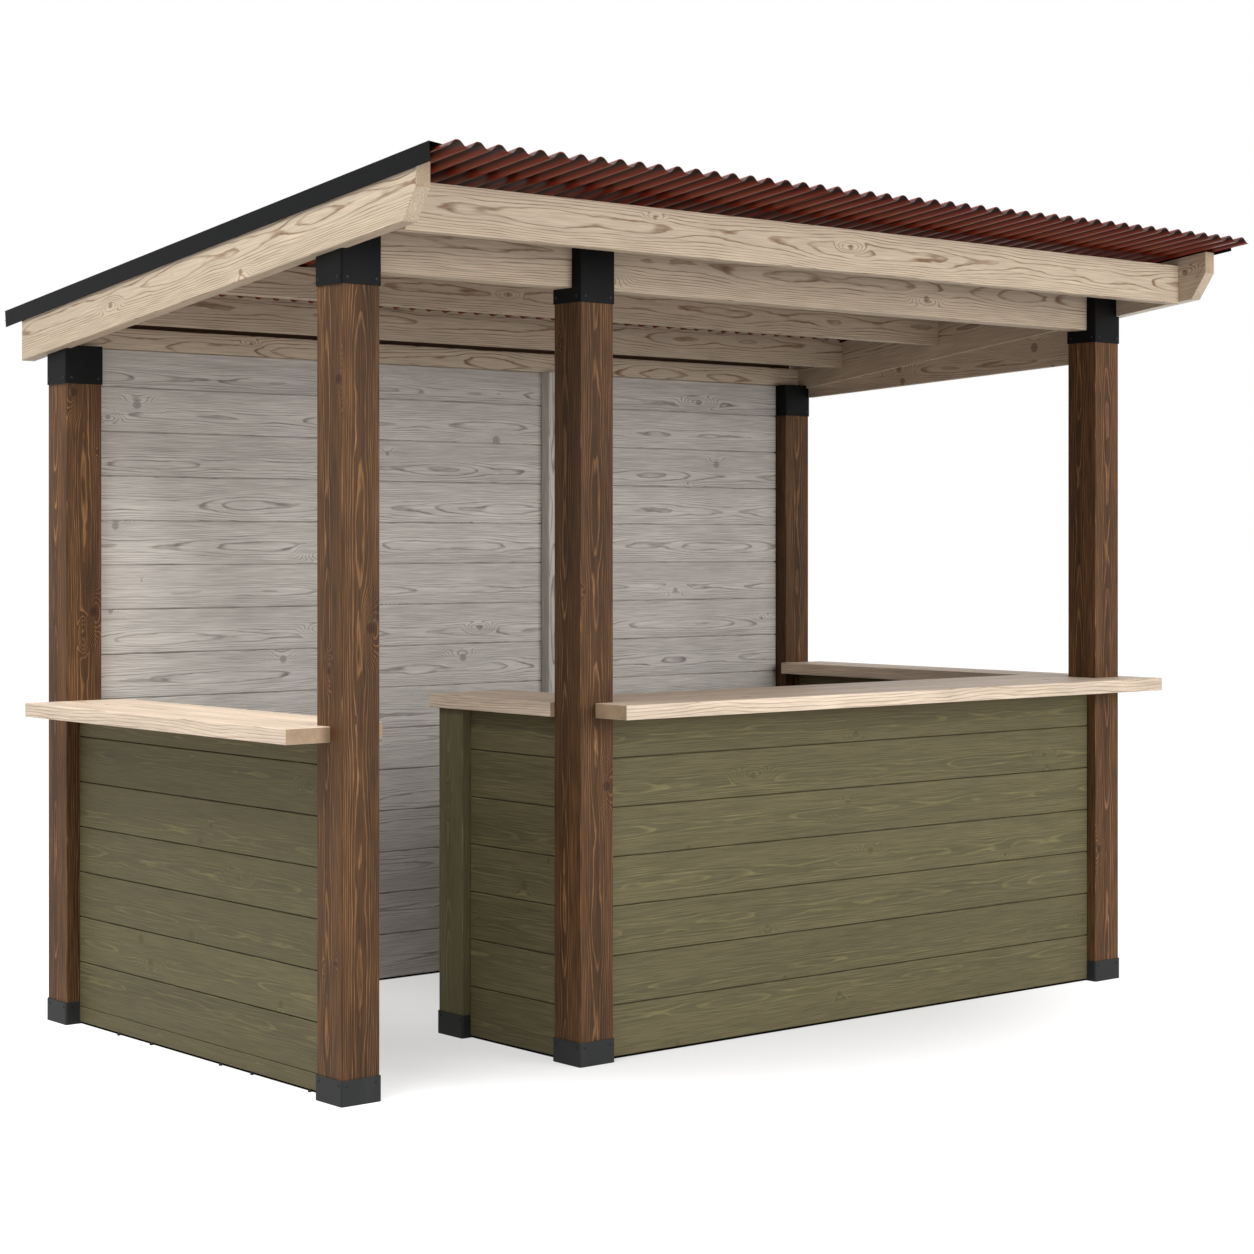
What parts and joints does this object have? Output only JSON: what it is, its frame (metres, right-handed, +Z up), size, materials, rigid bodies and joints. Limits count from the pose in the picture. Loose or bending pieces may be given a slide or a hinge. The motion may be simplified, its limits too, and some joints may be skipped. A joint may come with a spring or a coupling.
{
  "type": "outdoor bar stand",
  "caption": "Open lean-to bar stand: dark posts on steel feet, boarded counters with pale worktops round three sides, a boarded back wall and a corrugated roof.",
  "frame": {"origin": "centre of the object's footprint, on the ground", "axes": "+X along the front from the entrance side to the long counter's end, +Y from the high front to the low back, +Z up"},
  "size_m": [3.365, 2.3854, 2.4843],
  "materials": {
    "post_wood": "dark brown stained softwood",
    "black_steel": "matt black powder coat",
    "pale_pine": "pale bleached pine",
    "worktop_pine": "planed pale pine",
    "green_boards": "olive green wood stain",
    "grey_boards": "grey whitewashed boards",
    "red_brown_sheet": "glossy red-brown coating"
  },
  "bodies": {
    "root": {"post_front_left": "post_wood", "foot_front_left": "black_steel", "bracket_front_left": "black_steel", "post_front_middle": "post_wood", "foot_front_middle": "black_steel", "bracket_front_middle": "black_steel", "post_front_right": "post_wood", "foot_front_right": "black_steel", "bracket_front_right": "black_steel", "post_back_left": "post_wood", "foot_back_left": "black_steel", "bracket_back_left": "black_steel", "post_back_right": "post_wood", "foot_back_right": "black_steel", "bracket_back_right": "black_steel", "post_return": "green_boards", "foot_return": "black_steel", "rafter_left": "pale_pine", "rafter_right": "pale_pine", "front_fascia": "pale_pine", "header_beam": "pale_pine", "purlin_middle": "pale_pine", "purlin_rear": "pale_pine", "back_plate": "pale_pine", "right_taper_board": "pale_pine", "roof_sheet_first": "red_brown_sheet", "roof_sheet_second": "red_brown_sheet", "roof_sheet_third": "red_brown_sheet", "roof_sheet_fourth": "red_brown_sheet", "verge_trim_left": "black_steel", "verge_trim_right": "black_steel", "left_panel": "green_boards", "left_worktop": "worktop_pine", "front_panel": "green_boards", "front_worktop": "worktop_pine", "right_panel": "green_boards", "right_worktop": "worktop_pine", "return_panel": "green_boards", "return_worktop": "worktop_pine", "back_wall": "grey_boards", "wall_stud": "grey_boards"}
  },
  "joints": []
}
